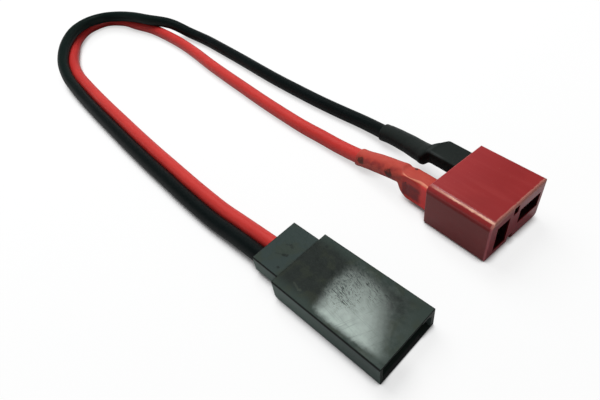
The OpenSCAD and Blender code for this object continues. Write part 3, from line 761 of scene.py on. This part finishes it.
def moulded_red():
    """Moulded red nylon, satin on top with faint flow streaks and a rougher front top edge, and painted
    light: highlights along the brow and front edges, shade on the near side and inside the slots, and a
    paler, cooler front face.
    """
    paint = Finish(bpy.data.materials.new("moulded_red"))
    where = paint.place()
    x, y, z = plug_axes(paint, where)
    broad = paint.cloud(where, 0.3, 3.0)
    fine = paint.cloud(where, 9.0, 4.0, 0.65)
    streak = paint.strokes(where, TO_PLUG, (0.12, 1.4, 1.0), 2.0)
    wobble = (paint.cloud(where, 1.6, 2.0) - 0.5) * 0.3
    near = paint.facing(PLUG_NEAR)

    colour = paint.blend(broad, tint(138, 36, 38), tint(158, 46, 46))
    colour = paint.blend((x + broad * 4).rise(4.0, -4.0) * 0.4, colour, tint(172, 58, 62))
    colour = paint.blend((streak - 0.5) * 0.5, colour, tint(184, 74, 72))
    # painted shade: the near side is darker
    colour = paint.blend(near.rise(0.75, 1.0) * 0.62, colour, tint(104, 15, 13))
    # painted light: the front face gets a paler, cooler tint, lighter towards the top
    face = paint.blend(z.rise(2.5, 6.2), tint(146, 46, 58), tint(158, 76, 84))
    colour = paint.blend(paint.facing(PLUG_AHEAD).rise(0.8, 1.0) * 0.75, colour, face)
    # painted light: the near side is paler towards its foot
    foot = near.rise(0.75, 1.0) * z.rise(3.4, 0.4)
    colour = paint.blend(foot * 0.5, colour, tint(122, 54, 54))
    # painted highlight along the rounded near top edge, broken into streaks
    turn = near + wobble * 0.5
    brow = turn.rise(0.2, 0.32) * turn.rise(0.54, 0.4) * paint.facing(UP).rise(0.6, 0.8)
    jagged = paint.strokes(where, TO_PLUG, (1.4, 0.4, 0.4), 3.0).rise(0.3, 0.6)
    brow = brow * (0.08 + jagged * 0.36 + x.rise(-4.0, -0.6) * 0.5).least(1.0)
    colour = paint.blend(brow, colour, tint(240, 184, 160))
    # painted highlight along the front top edge, which is also rougher
    rim = (x + wobble).rise(PLUG_FACE_X - 0.45, PLUG_FACE_X - 0.3)
    rim = rim * (z + wobble).rise(PLUG_H - 0.6, PLUG_H - 0.45)
    colour = paint.blend(rim * 0.6, colour, tint(196, 136, 122))
    # painted highlight along the front face's near upright edge
    upright_edge = (x + wobble * 0.5).rise(PLUG_FACE_X - 0.3, PLUG_FACE_X - 0.15)
    upright_edge = upright_edge * (y + wobble * 0.5).rise(-5.75, -5.9)
    colour = paint.blend(upright_edge * 0.5, colour, tint(206, 116, 124))
    specks = paint.specks(where, 1.6, 0.06, 0.03)
    colour = paint.blend(specks * 0.4, colour, tint(226, 170, 150))
    # painted shade inside the slots and the pocket
    colour = paint.blend(slot_depths(x, y, z) * 0.94, colour, tint(16, 5, 6))
    roughness = 0.22 + fine * 0.12 + streak * 0.05 + rim * 0.2
    return paint.surface(
        Base_Color=colour, Roughness=roughness, Specular_IOR_Level=0.45,
        Normal=paint.relief(fine * 0.3 + streak * 0.5 + broad * 0.6, 0.3, 0.03),
    )


def silicone(name, dark, light, dust, loop_shading, rough, mirror):
    """Soft wire insulation, faintly mottled, with a little dust on it, and painted shading in the loop, in
    the loop_shading tint.
    """
    paint = Finish(bpy.data.materials.new(name))
    where = paint.place()
    broad = paint.cloud(where, 0.25, 2.0)
    fine = paint.cloud(where, 7.0, 4.0, 0.6)
    specks = paint.specks(where, 1.4, 0.06, 0.02)
    colour = paint.blend(broad, dark, light)
    colour = paint.blend((fine - 0.4) * 0.25 + specks * 0.5, colour, dust)
    # painted light: the colour turns towards the loop_shading tint in the loop
    colour = paint.blend(paint.along(where, AHEAD).rise(-70, -96) * 0.4, colour, loop_shading)
    return paint.surface(
        Base_Color=colour, Roughness=rough + fine * 0.15, Specular_IOR_Level=mirror,
        Normal=paint.relief(fine * 0.5 + broad, 0.3, 0.04),
    )


def sleeve_folds(paint, where):
    """Faint folds along a shrunk sleeve, nearly in line with the plug."""
    return paint.strokes(where, 3, (0.5, 2.2, 1.6), 2.0)


# Marks on the red sleeve, in the part's frame: each smudge's middle, reach and how light its
# middle is, and the places of the slit and of the small spot
SLEEVE_SMUDGES = [((-15.5, 20.5, 2.75), 0.8, 0.2), ((-9.6, 20.0, 3.7), 0.85, 0.4)]
SLEEVE_SLIT = (-6.0, 22.1, 5.1)
SLEEVE_SPOT = (-6.3, 19.75, 3.8)


def shrunk_red():
    """Shrunk red sleeve, worn to plain dark smudges and a dull, mottled field on its near face, with
    painted light: a lighter near face, a highlight along the tab's near top edge and shade on the near
    side towards the wire.
    """
    paint = Finish(bpy.data.materials.new("shrunk_red_sleeve"))
    where = paint.place()
    x, _, z = plug_axes(paint, where)
    broad = paint.cloud(where, 0.5, 3.0)
    fine = paint.cloud(where, 8.0, 4.0, 0.6)
    mottle = paint.cloud(where, 1.3, 4.0, 0.6)
    folds = sleeve_folds(paint, where)
    near = paint.facing(PLUG_NEAR)
    ragged = (fine - 0.5) * 0.5
    uneven = (paint.cloud(where, 1.5, 3.0, 0.6) - 0.5) * 1.3

    colour = paint.blend(broad, tint(176, 60, 50), tint(190, 74, 60))
    colour = paint.blend((folds - 0.5) * 0.7, colour, tint(206, 104, 84))
    on_tab = x.rise(TAB_END_X - 0.6, TAB_END_X + 0.4)
    side = near.rise(0.5, 0.95)
    # painted light: the near face is lighter on the tab and lightest near the housing
    colour = paint.blend(side * on_tab * 0.7, colour, tint(214, 56, 54))
    colour = paint.blend(side * x.rise(-7.6, -7.0) * 0.6, colour, tint(250, 76, 76))
    # painted highlight along the tab's near top edge
    edge = near.rise(0.08, 0.28) * near.rise(0.8, 0.5) * paint.facing(UP).rise(0.3, 0.6)
    colour = paint.blend(edge * on_tab * (0.4 + fine).least(1.0) * 0.8, colour, tint(244, 160, 130))
    # painted shade on the near side towards the wire
    low = near.rise(0.3, 0.8) * x.rise(-10.5, -12.0) * paint.cloud(where, 0.8, 2.0).rise(0.4, 0.6)
    colour = paint.blend(low * 0.45, colour, tint(110, 20, 36))
    for spot, wide, light in SLEEVE_SMUDGES:
        reach = paint.distance(where, spot) + ragged + uneven
        middle = Vector(spot) + Vector((-0.1, 0.1, 0.3))
        hollow = (paint.distance(where, middle) + ragged).rise(0.4, 0.1)
        smudge = reach.rise(wide, wide * 0.6) * (1 - hollow * light)
        colour = paint.blend(smudge * 0.9, colour, tint(64, 28, 12))
    field = (x + ragged * 0.5).rise(-10.75, -10.4) * (x + uneven * 0.8).rise(-6.8, -7.9)
    field = field * near.rise(0.9, 0.98) * (z + ragged * 0.5).rise(1.1, 1.6)
    field = field * (z - x * 0.1 + uneven * 0.5).rise(5.1, 4.4)
    colour = paint.blend(field * (0.3 + mottle * 0.8).least(1.0), colour, tint(84, 36, 42))
    colour = paint.blend(field * mottle.rise(0.52, 0.68) * 0.35, colour, tint(168, 78, 84))
    spot = (paint.distance(where, SLEEVE_SPOT) + ragged * 0.3).rise(0.26, 0.14)
    colour = paint.blend(spot * 0.85, colour, tint(40, 16, 20))
    slit = (paint.distance(where, SLEEVE_SLIT) + ragged * 0.4).rise(0.3, 0.2)
    colour = paint.blend(slit * 0.9, colour, tint(40, 26, 20))
    return paint.surface(
        Base_Color=colour, Roughness=0.44 + fine * 0.14, Specular_IOR_Level=0.36,
        Normal=paint.relief(folds * 0.7 + fine * 0.4, 0.4, 0.06),
    )


def shrunk_black():
    """Shrunk black sleeve, with painted light: lighter on its upper faces, and painted highlights where it
    is stretched over the tab's end and edge.
    """
    paint = Finish(bpy.data.materials.new("shrunk_black_sleeve"))
    where = paint.place()
    x, y, _ = plug_axes(paint, where)
    broad = paint.cloud(where, 0.5, 3.0)
    fine = paint.cloud(where, 8.0, 4.0, 0.6)
    folds = sleeve_folds(paint, where)
    wander = (paint.cloud(where, 1.2, 2.0) - 0.5) * 0.5
    above = paint.facing(UP).rise(0.1, 0.9)
    colour = paint.blend(broad, tint(7, 13, 13), tint(12, 19, 18))
    # painted light: the upper faces are lighter
    colour = paint.blend(above * 0.6, colour, tint(42, 47, 45))
    # painted highlights on the ridges over the tab's end and edge
    tab_end = abs(x - (TAB_END_X - 0.35) + wander * 0.5).rise(0.35, 0.1) * (y + wander).rise(3.9, 2.9)
    tab_edge = abs(y - 1.42 + wander * 0.4).rise(0.4, 0.1)
    tab_edge = tab_edge * (x + wander).rise(TAB_END_X - 0.6, TAB_END_X) * x.rise(-7.6, -9.4)
    colour = paint.blend(tab_end.most(tab_edge) * above * 0.4, colour, tint(66, 70, 70))
    colour = paint.blend((fine - 0.45) * 0.4, colour, tint(56, 62, 60))
    return paint.surface(
        Base_Color=colour, Roughness=0.4 + fine * 0.15, Specular_IOR_Level=0.1,
        Normal=paint.relief(folds * 0.7 + fine * 0.4, 0.4, 0.06),
    )


def plated(name, colour, dull, rough):
    """Plated contact metal with faint rolling lines and a little tarnish."""
    paint = Finish(bpy.data.materials.new(name))
    where = paint.place()
    lines = paint.strokes(where, TO_PLUG, (0.3, 14.0, 14.0), 2.0)
    tarnish = paint.cloud(where, 1.2, 3.0).rise(0.4, 0.75)
    return paint.surface(
        Base_Color=paint.blend(tarnish, colour, dull), Metallic=1.0,
        Roughness=rough + lines * 0.2, Normal=paint.relief(lines, 0.25, 0.01),
    )


def stranded():
    """Tinned strands: the twist shows as fine slanting ridges."""
    paint = Finish(bpy.data.materials.new("tinned_strands"))
    twist = paint.add(
        "ShaderNodeTexWave", {"wave_type": "BANDS", "bands_direction": "DIAGONAL"},
        {"Vector": paint.place(), "Scale": 1.6, "Distortion": 0.4},
    )
    return paint.surface(
        Base_Color=paint.blend(twist, tint(150, 150, 146), tint(214, 214, 208)), Metallic=1.0,
        Roughness=0.3 + twist * 0.1, Normal=paint.relief(twist, 0.8, 0.1),
    )


def soldered():
    """Bright solder with a fine grain."""
    paint = Finish(bpy.data.materials.new("solder"))
    grain = paint.cloud(paint.place(), 5.0, 4.0, 0.6)
    return paint.surface(
        Base_Color=paint.blend(grain, tint(176, 178, 182), tint(222, 223, 226)), Metallic=1.0,
        Roughness=0.22 + grain * 0.25, Normal=paint.relief(grain, 0.5, 0.08),
    )


def repaint(node, material):
    """Give a node of the frame another material."""
    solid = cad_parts[node]
    if not solid.material_slots:
        solid.data.materials.append(material)
    for slot in solid.material_slots:
        slot.material = material


# painted shade: the red wire is darker in the loop
red_wire.data.materials.append(silicone(
    "red_silicone", dark=tint(188, 44, 42), light=tint(206, 56, 50), dust=tint(232, 120, 108),
    loop_shading=tint(158, 26, 30), rough=0.34, mirror=0.35,
))
# painted sheen: the black wire is lighter and greener in the loop
black_wire.data.materials.append(silicone(
    "black_silicone", dark=tint(6, 12, 12), light=tint(11, 19, 20), dust=tint(44, 54, 53),
    loop_shading=tint(18, 36, 31), rough=0.4, mirror=0.13,
))
red_sleeve.data.materials.append(shrunk_red())
black_sleeve.data.materials.append(shrunk_black())
repaint("plug_housing", moulded_red())
repaint("pin_housing", scuffed_black())
strand_metal = stranded()
metals = {
    "contact": plated("contact_metal", tint(150, 122, 70), tint(104, 80, 46), 0.24),
    "contact_spring": plated("spring_metal", tint(140, 114, 70), tint(96, 76, 46), 0.28),
    "pin": plated("pin_metal", tint(228, 196, 122), tint(186, 152, 90), 0.18),
    "tab_strands": strand_metal,
    "crimp_strands": strand_metal,
    "solder": soldered(),
}
for kind, metal in metals.items():
    for pole in ("positive", "negative"):
        repaint(f"{kind}_{pole}", metal)


# Floor, background and lamps

WHITE = (1, 1, 1, 1)
FLOOR_HALF = 900
FLOOR_Z = -0.02
CONTACT_REACH = 1.6


def plain_floor():
    """Pale floor. The camera sees it lifted towards white, but not right under what rests on it,
    so the lead keeps its shadow and a dark line of contact."""
    paint = Finish(bpy.data.materials.new("pale_floor"))
    seen = paint.add("ShaderNodeLightPath", {}, {}, "Is Camera Ray")
    where = paint.place()
    away = paint.distance(where, (-50, 15, 0)).rise(110, 300)
    colour = paint.blend(seen, (0.5, 0.5, 0.5, 1), (0.93, 0.93, 0.935, 1))
    colour = paint.blend(paint.cloud(where, 0.02, 1.0) * 0.03, colour, WHITE)
    open_sky = paint.add(
        "ShaderNodeAmbientOcclusion", {"samples": 16}, {"Distance": CONTACT_REACH * MM}, "AO"
    )
    housings = paint.along(where, ASIDE).rise(20, 7).most(paint.along(where, AHEAD).rise(-10, -4))
    contact = open_sky.rise(0.9, 0.38) * (0.3 + housings * 0.7)
    # painted shadow: two soft pools of shade, between the sleeves and before the housing's mouth
    between_sleeves = paint.distance(where, (-5.5, 28.5, 0)).rise(6.0, 2.0) * 0.22
    before_mouth = paint.distance(where, (10.0, -3.8, 0)).rise(4.0, 0.8) * 0.12
    lifted = seen * (0.83 + away * 0.17 - between_sleeves - before_mouth) * (1 - contact)
    matte = paint.add(
        "ShaderNodeBsdfPrincipled", {}, {"Base Color": colour, "Roughness": 1.0, "Specular IOR Level": 0.0}
    )
    glow = paint.add("ShaderNodeEmission", {}, {"Color": WHITE, "Strength": 1.0})
    mixed = paint.add("ShaderNodeMixShader", {}, {0: lifted, 1: matte, 2: glow})
    paint.add("ShaderNodeOutputMaterial", {}, {"Surface": mixed})
    corners = [
        Vector((side_x * FLOOR_HALF, side_y * FLOOR_HALF, FLOOR_Z))
        for side_x, side_y in ((-1, -1), (1, -1), (1, 1), (-1, 1))
    ]
    floor = new_piece("floor", corners, [(0, 1, 2, 3)], smooth=False)
    floor.data.materials.append(paint.owner)


def background():
    """White where the camera sees it and at the horizon of reflections, plain grey elsewhere."""
    world = bpy.data.worlds.new("studio")
    bpy.context.scene.world = world
    sky = Finish(world)
    seen = sky.add("ShaderNodeLightPath", {}, {}, "Is Camera Ray")
    glossy = sky.add("ShaderNodeLightPath", {}, {}, "Is Glossy Ray")
    way = sky.add("ShaderNodeTexCoord", {}, {}, "Generated")
    height = sky.add("ShaderNodeSeparateXYZ", {}, {"Vector": way}, "Z")
    mirrored = height.rise(0.35, 0.1) * 0.95 + 0.05
    level = glossy * mirrored + (1 - glossy) * 0.28
    level = seen + (1 - seen) * level
    glow = sky.add("ShaderNodeBackground", {}, {"Color": WHITE, "Strength": level})
    sky.add("ShaderNodeOutputWorld", {}, {"Surface": glow})


def lamp(name, place, aim, size, power, sideways=AHEAD, colour=(1, 1, 1)):
    """Rectangular lamp aimed at a place, with its first side turned towards sideways."""
    light = bpy.data.lights.new(name, "AREA")
    light.shape = "RECTANGLE"
    light.size, light.size_y = size[0] * MM, size[1] * MM
    light.energy = power
    light.color = colour
    holder = bpy.data.objects.new(name, light)
    bpy.context.scene.collection.objects.link(holder)
    back = (Vector(place) - Vector(aim)).normalized()
    side = (Vector(sideways) - back * back.dot(Vector(sideways))).normalized()
    stand(holder, place, side, back.cross(side), back)
    return holder


plain_floor()
background()
lamp(
    "window", place=(-98, 108, 250), aim=(2, 0, BODY_H), size=(92, 60), power=0.14,
    sideways=(0.98, -0.17, 0), colour=(0.93, 1, 0.96),
)
broad_lamp = lamp("broad_lamp", place=(-260, 90, 330), aim=(-30, 12, 0), size=(300, 300), power=1.55)
broad_lamp.visible_glossy = False
